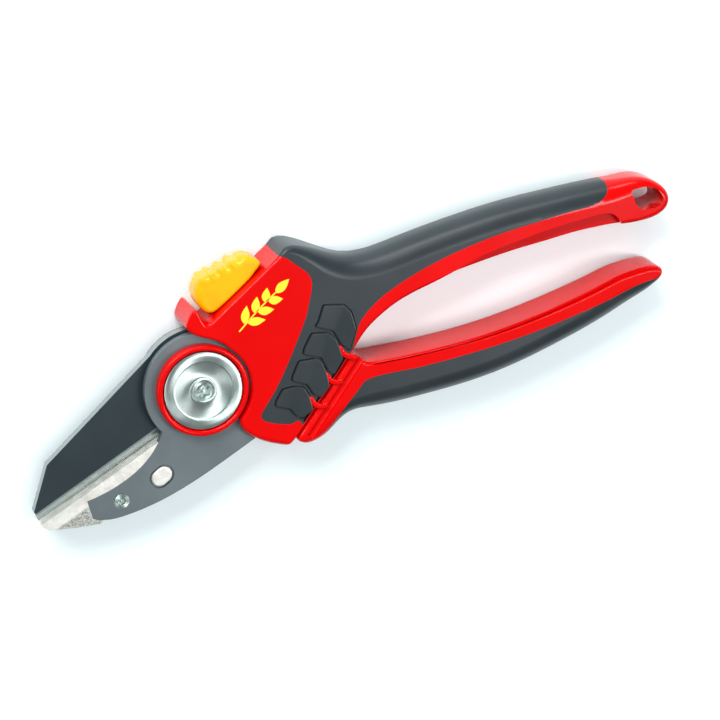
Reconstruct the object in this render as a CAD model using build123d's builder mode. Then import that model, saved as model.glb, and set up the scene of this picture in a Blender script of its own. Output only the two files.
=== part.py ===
"""Anvil pruning shears, closed and locked, lying on their back face.

X runs from the blade's tip to the handle ends, Y from the lower handle to the upper one, and Z up from the
surface.
The origin is on the pivot axis, in the plane that the shears rest on. Millimetres throughout.
"""

import os
from math import cos, radians, sin

from build123d import *

# ---- driving dimensions: stack, front to back ----
body_thick = 16.0  # handles and housing
blade_thick = 3.2
plate_thick = 2.5
side_gap = 0.3  # between the blade and each anvil plate
slot_clearance = 0.15  # between the anvil plates and the housing's slot
inlay_depth = 2.0  # soft overmould on the flat front and back
ring_flange = 1.0  # the plastic rings' flange, under the bolt head and the nut
bolt_head_thick = 1.6
washer_thick = 0.25

# ---- driving dimensions: in the plane ----
bolt_r = 4.0
bush_wall = 2.0
running_clearance = 0.05  # bolt in its bush
bolt_head_r = 11.7
ring_out_r = 13.6
ring_gap = 0.15  # between the bolt head and the ring round it
key_socket = 5.0  # across flats, in the bolt head
plate_head_r = 16.9
hub_r = 17.7  # the blade's round hub
hub_clearance = 0.6  # between the hub and what stands round it
housing_arc_r = 14.3  # the housing's edge, round the ring
edge_drop = 5.45  # the cutting edge's distance below the pivot axis
edge_angle = 8.9  # the cutting edge's slope
jaw_gap = 0.3  # between the cutting edge and the anvil
bevel_width = 2.6
edge_flat = 0.3
seam_angle = 32.0  # the line along which the two handles meet
seam_r = 31.9  # that line's distance from the pivot
seam_gap = 0.4
slide_angle = 18.4  # the housing's top face, which the lock slides on
slide_r = 13.6  # that face's distance from the pivot
slide_travel = 6.0
grip_thick = 3.0  # soft overmould on the outer side of each handle
edge_break = 1.2  # bevel round the edges of each handle
screw_r = 1.6
screw_head_r = 3.2
screw_head_thick = 2.0
anvil_screw_head_r = 2.25
stud_length = 6.6
stud_width = 5.0

# ---- levels, from the resting plane ----
mid_z = body_thick / 2
blade_low = mid_z - blade_thick / 2
blade_high = mid_z + blade_thick / 2
gap_low = blade_low - side_gap
gap_high = blade_high + side_gap
gap_thick = gap_high - gap_low
plate_low = gap_low - plate_thick
plate_high = gap_high + plate_thick
slot_low = plate_low - slot_clearance
slot_high = plate_high + slot_clearance
head_low = plate_high + ring_flange  # underside of the bolt head
nut_high = plate_low - ring_flange

# ---- directions ----
seam_dir = Vector(cos(radians(seam_angle)), sin(radians(seam_angle)))
seam_out = Vector(sin(radians(seam_angle)), -cos(radians(seam_angle)))
slide_dir = Vector(cos(radians(slide_angle)), sin(radians(slide_angle)))
slide_up = Vector(-sin(radians(slide_angle)), cos(radians(slide_angle)))
edge_dir = Vector(cos(radians(edge_angle)), sin(radians(edge_angle)))
edge_out = Vector(sin(radians(edge_angle)), -cos(radians(edge_angle)))

os.makedirs("parts", exist_ok=True)


def save(builder, name):
    """Labels a finished piece and writes its STEP file."""
    builder.part.label = name
    export_step(builder.part, f"parts/{name}.step")


def on_seam(along, outwards=0.0):
    """A point measured along the seam from its foot, and outwards from it."""
    return seam_out * (seam_r + outwards) + seam_dir * along


def from_seam(points):
    """Points of the lower handle, which are measured from the seam's foot."""
    return [(x + seam_out.X * seam_r, y + seam_out.Y * seam_r) for x, y in points]


def on_slide(along, above):
    """A point measured along the housing's top face from its foot, and square to it."""
    return slide_up * (slide_r + above) + slide_dir * along


def on_edge(along, below=0.0):
    """A point measured along the cutting edge from its foot, towards the tip, and below it."""
    return edge_out * (edge_drop + below) - edge_dir * along


def xy(point):
    """The X and Y of a point."""
    return (point.X, point.Y)


# ================= upper handle: housing, frame and grip =================

nose = [(3.3, 17.9), (2.9, 20.0), (5.2, 22.4), (7.9, 24.1)]
slide_start = xy(on_slide(13.6, 0))
shoulder = xy(on_slide(42.8, 0))
shoulder_top = (37.4, 28.0)
upper_outer = [
    (41.4, 26.9), (47.4, 21.8), (54.4, 15.7), (61.4, 13.2), (81.4, 11.0), (101.4, 7.9), (121.4, 3.2),
]
upper_tail = (136.6, -1.6)
upper_end = [(144.6, -4.2), (149.2, -9.8), (149.2, -14.6), (145.5, -16.8), (138.0, -15.7)]
upper_inner = [(130.0, -12.8), (110.0, -7.9), (90.0, -4.5), (70.0, -2.5), (52.0, -5.0)]
upper_heel = xy(on_seam(32.6, -seam_gap / 2))
seam_start = xy(on_seam(-1.0, -seam_gap / 2))
lobe = [(10.0, -22.6), (5.6, -16.6)]
arc_low = (housing_arc_r * cos(radians(-63)), housing_arc_r * sin(radians(-63)))
arc_mid = (housing_arc_r * cos(radians(-15)), housing_arc_r * sin(radians(-15)))
arc_high = (housing_arc_r * cos(radians(30)), housing_arc_r * sin(radians(30)))

with BuildPart() as upper_body:
    with BuildSketch() as upper_outline:
        with BuildLine():
            Polyline(*nose, slide_start, shoulder, shoulder_top)
            Spline(shoulder_top, *upper_outer, upper_tail)
            Spline(upper_tail, *upper_end, upper_inner[0])
            Spline(*upper_inner, upper_heel)
            Line(upper_heel, seam_start)
            Spline(seam_start, *lobe, arc_low)
            ThreePointArc(arc_low, arc_mid, arc_high)
            Spline(arc_high, (8.9, 12.6), nose[0])
        make_face()
    extrude(amount=body_thick)
    chamfer(edges().filter_by(Plane.XY), edge_break)

# the line where the red frame's face ends and the grey overmould begins, from the shoulder to the tail
head_line = [(41.5, 16.4), (35.0, 5.4), (20.0, -8.4), (11.6, -14.4)]
lobe_line = [(11.9, -16.8), (19.0, -21.4)]
grip_heel = xy(on_seam(7.0, -2.6))
grip_corner = xy(on_seam(32.0, -2.6))
grip_inner = [(55.0, 0.2), (75.0, 2.4), (100.0, 1.0), (127.0, -4.2), (133.5, 0.0)]
grip_end = (132.0, 6.0)

with BuildPart() as upper_grip:
    add(upper_body.part)
    with BuildSketch():
        with BuildLine():
            Polyline((34.9, 40.0), shoulder, *head_line, *lobe_line, grip_heel, grip_corner, grip_inner[0])
            Spline(*grip_inner, grip_end)
            Polyline(grip_end, (132.0, 40.0), (34.9, 40.0))
        make_face()
    extrude(amount=body_thick, mode=Mode.INTERSECT)
    # the frame's rib, which the overmould wraps
    with BuildSketch(Plane.XY.offset(inlay_depth)):
        with BuildLine():
            Spline(
                (shoulder[0], shoulder_top[1] - grip_thick),
                *[(x, y - grip_thick) for x, y in upper_outer],
                (grip_end[0] + 1, upper_tail[1]),
            )
            Polyline(
                (grip_end[0] + 1, upper_tail[1]),
                (grip_end[0] + 1, -40.0),
                (0.0, -40.0),
                (0.0, shoulder_top[1] - grip_thick),
                (shoulder[0], shoulder_top[1] - grip_thick),
            )
        make_face()
    extrude(amount=body_thick - 2 * inlay_depth, mode=Mode.SUBTRACT)
save(upper_grip, "upper_grip")

# ---- anvil plates: a round head, a jaw and a tail held in the housing ----
jaw_top = [(-43.7, -14.8), (-34.7, -14.9), (-24.7, -12.7), (-15.6, -6.4)]
jaw_bottom = [(-44.4, -20.4), (-40.7, -22.8), (-34.7, -24.3), (-24.7, -25.1), (-9.7, -24.1), (8.3, -21.3)]
tail_top_r = 7.2  # the plate tail's upper edge, below the lock's channel
tail_end = 38.0
tail_low = -0.5
plate_screws_at = [(22.5, 8.6), (31.0, 6.6)]
stud_at = (-21.2, -18.5)
anvil_screw_at = (-34.7, -19.6)


def plate_tail(clearance=0.0):
    """The corners of a plate's tail, or of the room for it."""
    top = slide_up * (tail_top_r + clearance)
    return [
        (0.0, 0.0),
        xy(top + slide_dir * 12.0),
        xy(top + slide_dir * (tail_end + clearance)),
        (tail_end - 3.0 + clearance, tail_low - 1.5 * clearance),
        (8.0, -14.0 - 1.5 * clearance),
    ]


with BuildSketch() as plate_outline:
    Circle(plate_head_r)
    with BuildLine():
        Spline(*jaw_top)
        Line(jaw_top[-1], (0.0, 0.0))
        Line((0.0, 0.0), jaw_bottom[-1])
        Spline(*jaw_bottom[::-1])
        Line(jaw_bottom[0], jaw_top[0])
    make_face()
    with BuildLine():
        Polyline(*plate_tail(), close=True)
    make_face()

with BuildSketch() as plate_holes:
    Circle(bolt_r)
    with Locations(stud_at):
        SlotOverall(stud_length, stud_width, rotation=15)
    with Locations(anvil_screw_at, *plate_screws_at):
        Circle(screw_r)

plate_levels = [("anvil_plate_rear", plate_low, plate_low), ("anvil_plate_front", gap_high, plate_high)]
for name, low, face in plate_levels:
    with BuildPart() as plate:
        with BuildSketch(Plane.XY.offset(low)):
            add(plate_outline.sketch)
            add(plate_holes.sketch, mode=Mode.SUBTRACT)
        extrude(amount=plate_thick)
        if face == plate_high:
            # the screw's head lies flush in the front plate
            with BuildSketch(Plane.XY.offset(face)):
                with Locations(anvil_screw_at):
                    Circle(anvil_screw_head_r)
            extrude(amount=-anvil_screw_head_r / 2, mode=Mode.SUBTRACT)
    save(plate, name)

# ---- spacer that keeps the plates' tails apart, outside the hub's sweep ----
tang_top = [(hub_r, -2.0), (44.0, -10.5)]  # above the tang's upper side when closed, with room to spare
with BuildPart() as plate_spacer:
    with BuildSketch(Plane.XY.offset(gap_low)):
        with BuildLine():
            Polyline(
                xy(slide_up * (tail_top_r - 1) + slide_dir * 17.5),
                xy(slide_up * (tail_top_r - 1) + slide_dir * (tail_end - 2)),
                (tail_end - 3.8, 1.5),
                (18.5, 1.5),
                close=True,
            )
        make_face()
        fillet(vertices().sort_by(Axis.X)[-2:], 2.0)
        Circle(hub_r + hub_clearance, mode=Mode.SUBTRACT)
        with Locations(*plate_screws_at):
            Circle(screw_r, mode=Mode.SUBTRACT)
    extrude(amount=gap_thick)
save(plate_spacer, "plate_spacer")

# ---- the room inside the housing ----
tongue_low = -5.0  # the lock's tongue, square to the housing's top face
tongue_high = -1.0
tongue_thick = 2.4
tongue_start = 15.4
tongue_length = 16.0
foot_start = 20.0
foot_length = 8.0
foot_thick = 6.0
lock_clearance = 0.3
detent_depth = 1.4


def slide_block(start, end, low, high, clearance=0.0):
    """The corners of a block along the housing's top face, or of the room for it."""
    return [
        xy(on_slide(start - clearance, low - clearance)),
        xy(on_slide(end + clearance, low - clearance)),
        xy(on_slide(end + clearance, high + clearance)),
        xy(on_slide(start - clearance, high + clearance)),
    ]


hang_hole = [(138.2, -5.9), (138.4, -12.8), (146.6, -14.0), (147.6, -11.4), (143.5, -6.9)]

with BuildPart() as upper_handle_frame:
    add(upper_body.part)
    add(upper_grip.part, mode=Mode.SUBTRACT)
    # slot for the plates, and for the hub and the tang as they turn
    with BuildSketch(Plane.XY.offset(slot_low)):
        Circle(hub_r + hub_clearance)
        with BuildLine():
            Polyline(*plate_tail(slot_clearance), close=True)
        make_face()
        with BuildLine():
            Polyline((0.0, 0.0), *tang_top, (60.0, -60.0), (-30.0, -60.0), (-30.0, 0.0), close=True)
        make_face()
        with BuildLine():
            Polyline((-30.0, 0.0), (0.0, 0.0), (3.0, 17.0), (-30.0, 30.0), close=True)
        make_face()
    extrude(amount=slot_high - slot_low, mode=Mode.SUBTRACT)
    # channel for the lock's tongue, foot and detent spring
    with BuildSketch(Plane.XY.offset(mid_z - tongue_thick / 2 - lock_clearance)):
        with BuildLine():
            tongue_end = tongue_start + tongue_length + slide_travel
            room = slide_block(tongue_start - 4, tongue_end, tongue_low, tongue_high, lock_clearance)
            Polyline(*room, close=True)
        make_face()
    extrude(amount=tongue_thick + 2 * lock_clearance, mode=Mode.SUBTRACT)
    with BuildSketch(Plane.XY.offset(mid_z - foot_thick / 2 - lock_clearance)):
        with BuildLine():
            foot_end = foot_start + foot_length + slide_travel
            Polyline(*slide_block(foot_start, foot_end, tongue_low, 5.0, lock_clearance), close=True)
        make_face()
    extrude(amount=foot_thick + 2 * lock_clearance, mode=Mode.SUBTRACT)
    with BuildSketch(Plane.XY.offset(mid_z - tongue_thick / 2)):
        with BuildLine():
            detent_low = tongue_low - detent_depth
            room = slide_block(foot_start + 1, foot_start + foot_length + 5, detent_low, tongue_low)
            Polyline(*room, close=True)
        make_face()
    extrude(amount=tongue_thick, mode=Mode.SUBTRACT)
    # screws that hold the plates: heads behind, threads in the front shell
    with BuildSketch():
        with Locations(*plate_screws_at):
            Circle(screw_r)
    extrude(amount=body_thick - 1.2, mode=Mode.SUBTRACT)
    with BuildSketch():
        with Locations(*plate_screws_at):
            Circle(screw_head_r)
    extrude(amount=screw_head_thick, mode=Mode.SUBTRACT)
    # hang hole
    with BuildSketch():
        with BuildLine():
            Polyline(*hang_hole, close=True)
        make_face()
        fillet(vertices(), 1.2)
    extrude(amount=body_thick, mode=Mode.SUBTRACT)
save(upper_handle_frame, "upper_handle_frame")

# ================= lower handle =================

lower_start = xy(on_seam(1.2, seam_gap / 2))
lower_peak = xy(on_seam(32.6, seam_gap / 2))
lower_inner = from_seam([(29.1, 11.9), (43.1, 7.7), (63.1, 2.9), (83.1, 0.2), (109.1, -0.8), (120.7, -3.1)])
lower_end = from_seam([(122.5, -5.4)])
lower_outer = from_seam([
    (119.6, -8.2), (103.1, -11.6), (83.1, -12.2), (63.1, -11.2), (43.1, -7.4), (27.1, -2.9),
])
lower_bump = from_seam([(19.5, -0.3), (13.1, -1.9), (8.1, -2.9), (3.1, -1.8)])
lower_grip_line = from_seam([
    (13.1, 0.4), (21.1, 4.9), (29.1, 7.7), (43.1, 3.4), (63.1, -0.9), (83.1, -3.9), (119.1, -6.6),
])

with BuildPart() as lower_body:
    with BuildSketch():
        with BuildLine():
            Polyline(lower_start, lower_peak, lower_inner[0])
            Spline(*lower_inner)
            Spline(lower_inner[-1], *lower_end, lower_outer[0])
            Spline(*lower_outer, *lower_bump, lower_start)
        make_face()
    extrude(amount=body_thick)
    chamfer(edges().filter_by(Plane.XY).filter_by(lambda e: e.length > 60), edge_break)

with BuildPart() as lower_grip:
    add(lower_body.part)
    with BuildSketch():
        with BuildLine():
            Polyline(*lower_grip_line, *from_seam([(119.1, -33.0), (13.1, -33.0)]), close=True)
        make_face()
    extrude(amount=body_thick, mode=Mode.INTERSECT)
    with BuildSketch(Plane.XY.offset(inlay_depth)):
        with BuildLine():
            rib_start, rib_end = from_seam([(118.1, -6.0), (11.1, 1.0)])
            Spline(rib_start, *[(x, y + grip_thick) for x, y in lower_outer[1:] + lower_bump[:1]], rib_end)
            Polyline(rib_end, *from_seam([(11.1, 27.0), (118.1, 27.0)]), rib_start)
        make_face()
    extrude(amount=body_thick - 2 * inlay_depth, mode=Mode.SUBTRACT)
save(lower_grip, "lower_grip")

# ---- blade and tang ----
edge_heel = xy(on_edge(15.5))
edge_tip = xy(on_edge(60.0))
blade_back = [(-58.6, -11.2), (-49.4, -0.2), (-9.3, 15.06)]
tang_upper = [(15.0, -9.0), *from_seam([(17.1, 9.2), (29.1, 6.2), (55.1, 0.8)])]
tang_lower = [*from_seam([(55.1, -4.2), (29.1, 0.8), (20.1, 3.4), (13.1, 3.4), (6.1, 2.6)]), (9.0, -15.0)]
tang_screws_at = from_seam([(27.1, 3.7), (47.1, -0.3)])

with BuildSketch() as blade_outline:
    with BuildLine():
        Polyline((0.0, 0.0), edge_heel, edge_tip, *blade_back, close=True)
    make_face()
    Circle(hub_r)
    with BuildLine():
        Polyline((0.0, 0.0), *tang_upper, *tang_lower, close=True)
    make_face()

# return spring, flat in the hub's recess
spring_thick = 1.3
spring_wire = 0.6
spring_pitch = 0.9
half_turns = 7
spring_clearance = 0.4
spring_depth = spring_thick + spring_clearance
spring_r = bolt_r + bush_wall + 0.9  # the first half turn
spring_recess_r = spring_r + half_turns * spring_pitch / 2 + spring_wire / 2 + spring_clearance

grind_start = on_edge(hub_r - 0.8)
grind_plane = Plane(
    origin=(grind_start.X, grind_start.Y, mid_z),
    x_dir=(edge_out.X, edge_out.Y, 0),
    z_dir=(-edge_dir.X, -edge_dir.Y, 0),
)

with BuildPart() as blade:
    with BuildSketch(Plane.XY.offset(blade_low)):
        add(blade_outline.sketch)
    extrude(amount=blade_thick)
    # the cutting edge, ground on both sides
    with BuildSketch(grind_plane):
        for side in (1, -1):
            with BuildLine():
                Polyline(
                    (-bevel_width, side * blade_thick / 2),
                    (0.0, side * edge_flat / 2),
                    (1.0, side * edge_flat / 2),
                    (1.0, side * blade_thick),
                    (-bevel_width, side * blade_thick),
                    close=True,
                )
            make_face()
    extrude(amount=60.0, mode=Mode.SUBTRACT)
    with BuildSketch(Plane.XY.offset(blade_low)):
        Circle(bolt_r + bush_wall)
        with Locations(*tang_screws_at):
            Circle(screw_r)
    extrude(amount=blade_thick, mode=Mode.SUBTRACT)
    # recess for the return spring, open to the front
    with BuildSketch(Plane.XY.offset(blade_high)):
        Circle(spring_recess_r)
    extrude(amount=-spring_depth, mode=Mode.SUBTRACT)
save(blade, "blade")

# ---- lower handle's frame, closed round the tang ----
with BuildPart() as lower_handle_frame:
    add(lower_body.part)
    add(lower_grip.part, mode=Mode.SUBTRACT)
    with BuildSketch(Plane.XY.offset(blade_low)):
        add(blade_outline.sketch)
    extrude(amount=blade_thick, mode=Mode.SUBTRACT)
    with BuildSketch():
        with Locations(*tang_screws_at):
            Circle(screw_r)
    extrude(amount=body_thick - inlay_depth - 1.2, mode=Mode.SUBTRACT)
    with BuildSketch():
        with Locations(*tang_screws_at):
            Circle(screw_head_r)
    extrude(amount=inlay_depth + screw_head_thick, mode=Mode.SUBTRACT)
save(lower_handle_frame, "lower_handle_frame")

# ---- anvil: a pad across both plates, a tongue between them and a stud through both ----
anvil_top_heel = xy(on_edge(14.0, jaw_gap))
anvil_top_tip = xy(on_edge(60.4, jaw_gap))
anvil_bottom = [
    (-57.0, -17.4), (-50.0, -20.4), (-43.0, -22.8), (-40.0, -21.6), (-20.0, -23.2), (-13.0, -20.0),
]
with BuildPart() as anvil:
    with BuildSketch(Plane.XY.offset(plate_low)):
        with BuildLine():
            Polyline(anvil_top_heel, anvil_top_tip, *anvil_bottom, close=True)
        make_face()
        Circle(hub_r + hub_clearance, mode=Mode.SUBTRACT)
    extrude(amount=plate_high - plate_low)
    for low in (plate_low, gap_high):
        with BuildSketch(Plane.XY.offset(low)):
            add(plate_outline.sketch)
        extrude(amount=plate_thick, mode=Mode.SUBTRACT)
    with BuildSketch(Plane.XY.offset(plate_low)):
        with Locations(stud_at):
            SlotOverall(stud_length, stud_width, rotation=15)
    extrude(amount=plate_high - plate_low)
    with BuildSketch(Plane.XY.offset(plate_low)):
        with Locations(anvil_screw_at):
            Circle(screw_r)
    extrude(amount=plate_high - plate_low, mode=Mode.SUBTRACT)
save(anvil, "anvil")

nut_across = 5.5
nut_thick = 2.4
with BuildPart() as anvil_screw:
    with BuildSketch(Plane.XY.offset(plate_low - nut_thick)):
        with Locations(anvil_screw_at):
            Circle(screw_r)
    extrude(amount=plate_high - plate_low + nut_thick)
    with BuildSketch(Plane.XY.offset(plate_high)):
        with Locations(anvil_screw_at):
            Circle(anvil_screw_head_r)
    extrude(amount=-anvil_screw_head_r / 2)
    with BuildSketch(Plane.XY.offset(plate_high)):
        with Locations(anvil_screw_at):
            RegularPolygon(radius=1.25, side_count=6)
    extrude(amount=-1.4, mode=Mode.SUBTRACT)
save(anvil_screw, "anvil_screw")

with BuildPart() as anvil_nut:
    with BuildSketch(Plane.XY.offset(plate_low)):
        with Locations(anvil_screw_at):
            RegularPolygon(radius=nut_across / 2, side_count=6, major_radius=False)
            Circle(screw_r, mode=Mode.SUBTRACT)
    extrude(amount=-nut_thick)
save(anvil_nut, "anvil_nut")

# ---- pivot: bolt, nut, rings, bush and washers ----
step_r = 8.8  # the shallow dish in the bolt head
dish_depth = 0.5
collar_r = 3.25
nut_wall = 1.0  # the nut is closed at the back
with BuildPart() as pivot_bolt:
    with BuildSketch(Plane.XY.offset(nut_wall)):
        Circle(bolt_r)
    extrude(amount=head_low - nut_wall)
    with BuildSketch(Plane.XY.offset(head_low)):
        Circle(bolt_head_r)
    extrude(amount=bolt_head_thick)
    fillet(edges().filter_by(GeomType.CIRCLE).group_by(Axis.Z)[-1], 0.5)
    with BuildSketch(Plane.XY.offset(head_low + bolt_head_thick)):
        Circle(step_r)
        Circle(collar_r, mode=Mode.SUBTRACT)
    extrude(amount=-dish_depth, mode=Mode.SUBTRACT)
    with BuildSketch(Plane.XY.offset(head_low + bolt_head_thick)):
        RegularPolygon(radius=key_socket / 2, side_count=6, major_radius=False)
    extrude(amount=-3.0, mode=Mode.SUBTRACT)
save(pivot_bolt, "pivot_bolt")

nut_r = 10.5
with BuildPart() as pivot_nut:
    with BuildSketch():
        Circle(nut_r)
        with PolarLocations(7.2, 2, start_angle=30):
            Circle(1.3, mode=Mode.SUBTRACT)
    extrude(amount=nut_high)
    with BuildSketch(Plane.XY.offset(nut_wall)):
        Circle(bolt_r)
    extrude(amount=nut_high - nut_wall, mode=Mode.SUBTRACT)
    chamfer(edges().filter_by(GeomType.CIRCLE).filter_by(lambda e: e.radius > nut_r - 0.1), 0.4)
save(pivot_nut, "pivot_nut")

ring_top = head_low + bolt_head_thick + 0.3
with BuildPart() as pivot_ring_front:
    with BuildSketch(Plane.XY.offset(plate_high)):
        Circle(ring_out_r)
        Circle(bolt_r, mode=Mode.SUBTRACT)
    extrude(amount=ring_top - plate_high)
    fillet(edges().filter_by(GeomType.CIRCLE).group_by(Axis.Z)[-1].sort_by(SortBy.RADIUS)[-1], 0.8)
    with BuildSketch(Plane.XY.offset(head_low)):
        Circle(bolt_head_r + ring_gap)
    extrude(amount=ring_top - head_low, mode=Mode.SUBTRACT)
save(pivot_ring_front, "pivot_ring_front")

with BuildPart() as pivot_ring_rear:
    with BuildSketch(Plane.XY.offset(plate_low)):
        Circle(ring_out_r)
        Circle(bolt_r, mode=Mode.SUBTRACT)
    extrude(amount=-plate_low + 0.6)
    fillet(edges().filter_by(GeomType.CIRCLE).group_by(Axis.Z)[0].sort_by(SortBy.RADIUS)[-1], 0.8)
    with BuildSketch():
        Circle(nut_r + ring_gap)
    extrude(amount=nut_high, mode=Mode.SUBTRACT)
save(pivot_ring_rear, "pivot_ring_rear")

with BuildPart() as pivot_bush:
    with BuildSketch(Plane.XY.offset(blade_low)):
        Circle(bolt_r + bush_wall)
        Circle(bolt_r + running_clearance, mode=Mode.SUBTRACT)
    extrude(amount=blade_thick)
save(pivot_bush, "pivot_bush")

for name, low in [("blade_washer_rear", gap_low), ("blade_washer_front", gap_high - washer_thick)]:
    with BuildPart() as washer:
        with BuildSketch(Plane.XY.offset(low)):
            Circle(hub_r - 3.0)
            Circle(bolt_r, mode=Mode.SUBTRACT)
        extrude(amount=washer_thick)
    save(washer, name)

# ---- return spring: flat spiral in the hub's recess ----
with BuildPart() as return_spring:
    with BuildSketch(Plane.XY.offset(blade_high - spring_thick - 0.1)):
        with BuildLine() as coil:
            for turn in range(half_turns):
                r = spring_r + turn * spring_pitch / 2
                centre = (-spring_pitch / 4, 0) if turn % 2 else (spring_pitch / 4, 0)
                CenterArc(centre, r, 180 * turn, 180)
        trace(line_width=spring_wire)
    extrude(amount=spring_thick)
save(return_spring, "return_spring")

# ---- lock: thumb slider, tongue, pin and detent spring ----
slider_width = 8.4
slider_top = [
    (29.4, 25.6), (28.8, 28.6), (26.6, 30.2), (13.8, 30.2), (11.4, 28.8), (9.2, 23.6), (10.9, 19.6),
]
with BuildPart() as lock_slider:
    with BuildSketch(Plane.XY.offset(mid_z - slider_width / 2)):
        with BuildLine():
            Polyline(xy(on_slide(17.8, 0.15)), xy(on_slide(34.2, 0.15)), *slider_top, close=True)
        make_face()
        fillet(vertices(), 0.8)
    extrude(amount=slider_width)
    chamfer(edges().filter_by(Plane.XY), 0.5)
    with BuildSketch(Plane.XY.offset(mid_z - foot_thick / 2)):
        with BuildLine():
            Polyline(*slide_block(foot_start, foot_start + foot_length, tongue_low, 1.5), close=True)
        make_face()
    extrude(amount=foot_thick)
    with BuildSketch(Plane.XY.offset(mid_z - tongue_thick / 2)):
        with BuildLine():
            room = slide_block(foot_start - 1, foot_start + foot_length + 1, tongue_low, tongue_high)
            Polyline(*room, close=True)
        make_face()
    extrude(amount=tongue_thick, mode=Mode.SUBTRACT)
    with BuildSketch(Plane.XY.offset(mid_z - foot_thick / 2)):
        with Locations(xy(on_slide(foot_start + foot_length / 2, (tongue_low + tongue_high) / 2))):
            Circle(1.0)
    extrude(amount=foot_thick, mode=Mode.SUBTRACT)
save(lock_slider, "lock_slider")

with BuildPart() as lock_tongue:
    with BuildSketch(Plane.XY.offset(mid_z - tongue_thick / 2)):
        with BuildLine():
            tongue = slide_block(tongue_start, tongue_start + tongue_length, tongue_low, tongue_high)
            Polyline(*tongue, close=True)
        make_face()
        with Locations(xy(on_slide(foot_start + foot_length / 2, (tongue_low + tongue_high) / 2))):
            Circle(1.0, mode=Mode.SUBTRACT)
        Circle(hub_r + hub_clearance, mode=Mode.SUBTRACT)
    extrude(amount=tongue_thick)
save(lock_tongue, "lock_tongue")

with BuildPart() as slider_pin:
    with BuildSketch(Plane.XY.offset(mid_z - foot_thick / 2)):
        with Locations(xy(on_slide(foot_start + foot_length / 2, (tongue_low + tongue_high) / 2))):
            Circle(1.0)
    extrude(amount=foot_thick)
save(slider_pin, "slider_pin")

with BuildPart() as lock_detent_spring:
    with BuildSketch(Plane.XY.offset(mid_z - tongue_thick / 2)):
        with BuildLine():
            Polyline(
                xy(on_slide(foot_start + 1.3, tongue_low - detent_depth + 0.2)),
                xy(on_slide(foot_start + 4, tongue_low - detent_depth + 0.2)),
                xy(on_slide(foot_start + 7, tongue_low - 0.7)),
                xy(on_slide(foot_start + 10, tongue_low - detent_depth + 0.2)),
                xy(on_slide(foot_start + 12.5, tongue_low - detent_depth + 0.2)),
            )
        trace(line_width=0.4)
    extrude(amount=tongue_thick)
save(lock_detent_spring, "lock_detent_spring")

# ---- screws, heads to the back ----
with BuildPart() as plate_screws:
    with BuildSketch(Plane.XY.offset(0.2)):
        with Locations(*plate_screws_at):
            Circle(screw_head_r - 0.1)
    extrude(amount=screw_head_thick - 0.2)
    with BuildSketch(Plane.XY.offset(0.2)):
        with Locations(*plate_screws_at):
            Circle(screw_r)
    extrude(amount=body_thick - 1.4 - 0.2)
    with BuildSketch(Plane.XY.offset(0.2)):
        with Locations(*plate_screws_at):
            RegularPolygon(radius=1.3, side_count=6)
    extrude(amount=1.2, mode=Mode.SUBTRACT)
save(plate_screws, "plate_screws")

tang_head_top = inlay_depth + screw_head_thick
with BuildPart() as tang_screws:
    with BuildSketch(Plane.XY.offset(inlay_depth)):
        with Locations(*tang_screws_at):
            Circle(screw_head_r - 0.1)
    extrude(amount=screw_head_thick)
    with BuildSketch(Plane.XY.offset(inlay_depth)):
        with Locations(*tang_screws_at):
            Circle(screw_r)
    extrude(amount=body_thick - 2 * inlay_depth - 1.4)
    with BuildSketch(Plane.XY.offset(inlay_depth)):
        with Locations(*tang_screws_at):
            RegularPolygon(radius=1.3, side_count=6)
    extrude(amount=1.2, mode=Mode.SUBTRACT)
save(tang_screws, "tang_screws")
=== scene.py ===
import math

import bmesh
import bpy
from mathutils import Matrix, Vector


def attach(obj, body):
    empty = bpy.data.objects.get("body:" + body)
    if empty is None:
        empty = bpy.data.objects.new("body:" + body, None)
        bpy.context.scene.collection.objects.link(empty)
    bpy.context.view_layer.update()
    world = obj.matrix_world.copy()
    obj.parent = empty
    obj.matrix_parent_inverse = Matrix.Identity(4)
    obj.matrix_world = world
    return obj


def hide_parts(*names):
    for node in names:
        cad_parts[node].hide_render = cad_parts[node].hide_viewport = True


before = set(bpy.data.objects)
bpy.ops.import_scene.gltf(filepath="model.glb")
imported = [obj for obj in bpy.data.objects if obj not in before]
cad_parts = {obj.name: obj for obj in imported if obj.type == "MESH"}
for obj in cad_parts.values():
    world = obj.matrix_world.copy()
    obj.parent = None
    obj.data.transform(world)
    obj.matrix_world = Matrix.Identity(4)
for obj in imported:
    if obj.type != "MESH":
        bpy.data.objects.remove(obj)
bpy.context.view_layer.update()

mm = 0.001
pi = math.pi
print("frame loaded:", len(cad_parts), "nodes")


def deselectAll():
    if bpy.context.object and bpy.context.object.mode != "OBJECT":
        bpy.ops.object.mode_set(mode="OBJECT")
    bpy.ops.object.select_all(action="DESELECT")


def pick(piece):
    # makes one piece the only one selected, and active
    deselectAll()
    piece.select_set(True)
    bpy.context.view_layer.objects.active = piece


def smoothLine(points, step=1.2):
    # a smooth line through the points, in even short steps
    ends = [points[0], *points, points[-1]]
    fine = []
    for i in range(len(points) - 1):
        a, b, c, d = (Vector(p) for p in ends[i:i + 4])
        for k in range(20):
            t = k / 20
            fine.append(0.5 * (2 * b + (c - a) * t + (2 * a - 5 * b + 4 * c - d) * t * t
                               + (3 * b - a - 3 * c + d) * t ** 3))
    fine.append(Vector(points[-1]))
    length = sum((q - p).length for p, q in zip(fine, fine[1:]))
    count = max(2, round(length / step))
    out = [fine[0]]
    walked = 0.0
    for p, q in zip(fine, fine[1:]):
        leg = (q - p).length
        while leg > 0 and len(out) < count and walked + leg >= len(out) * length / count:
            t = (len(out) * length / count - walked) / leg
            out.append(p.lerp(q, t))
        walked += leg
    out.append(fine[-1])
    return [(p[0], p[1]) for p in out]


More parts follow.
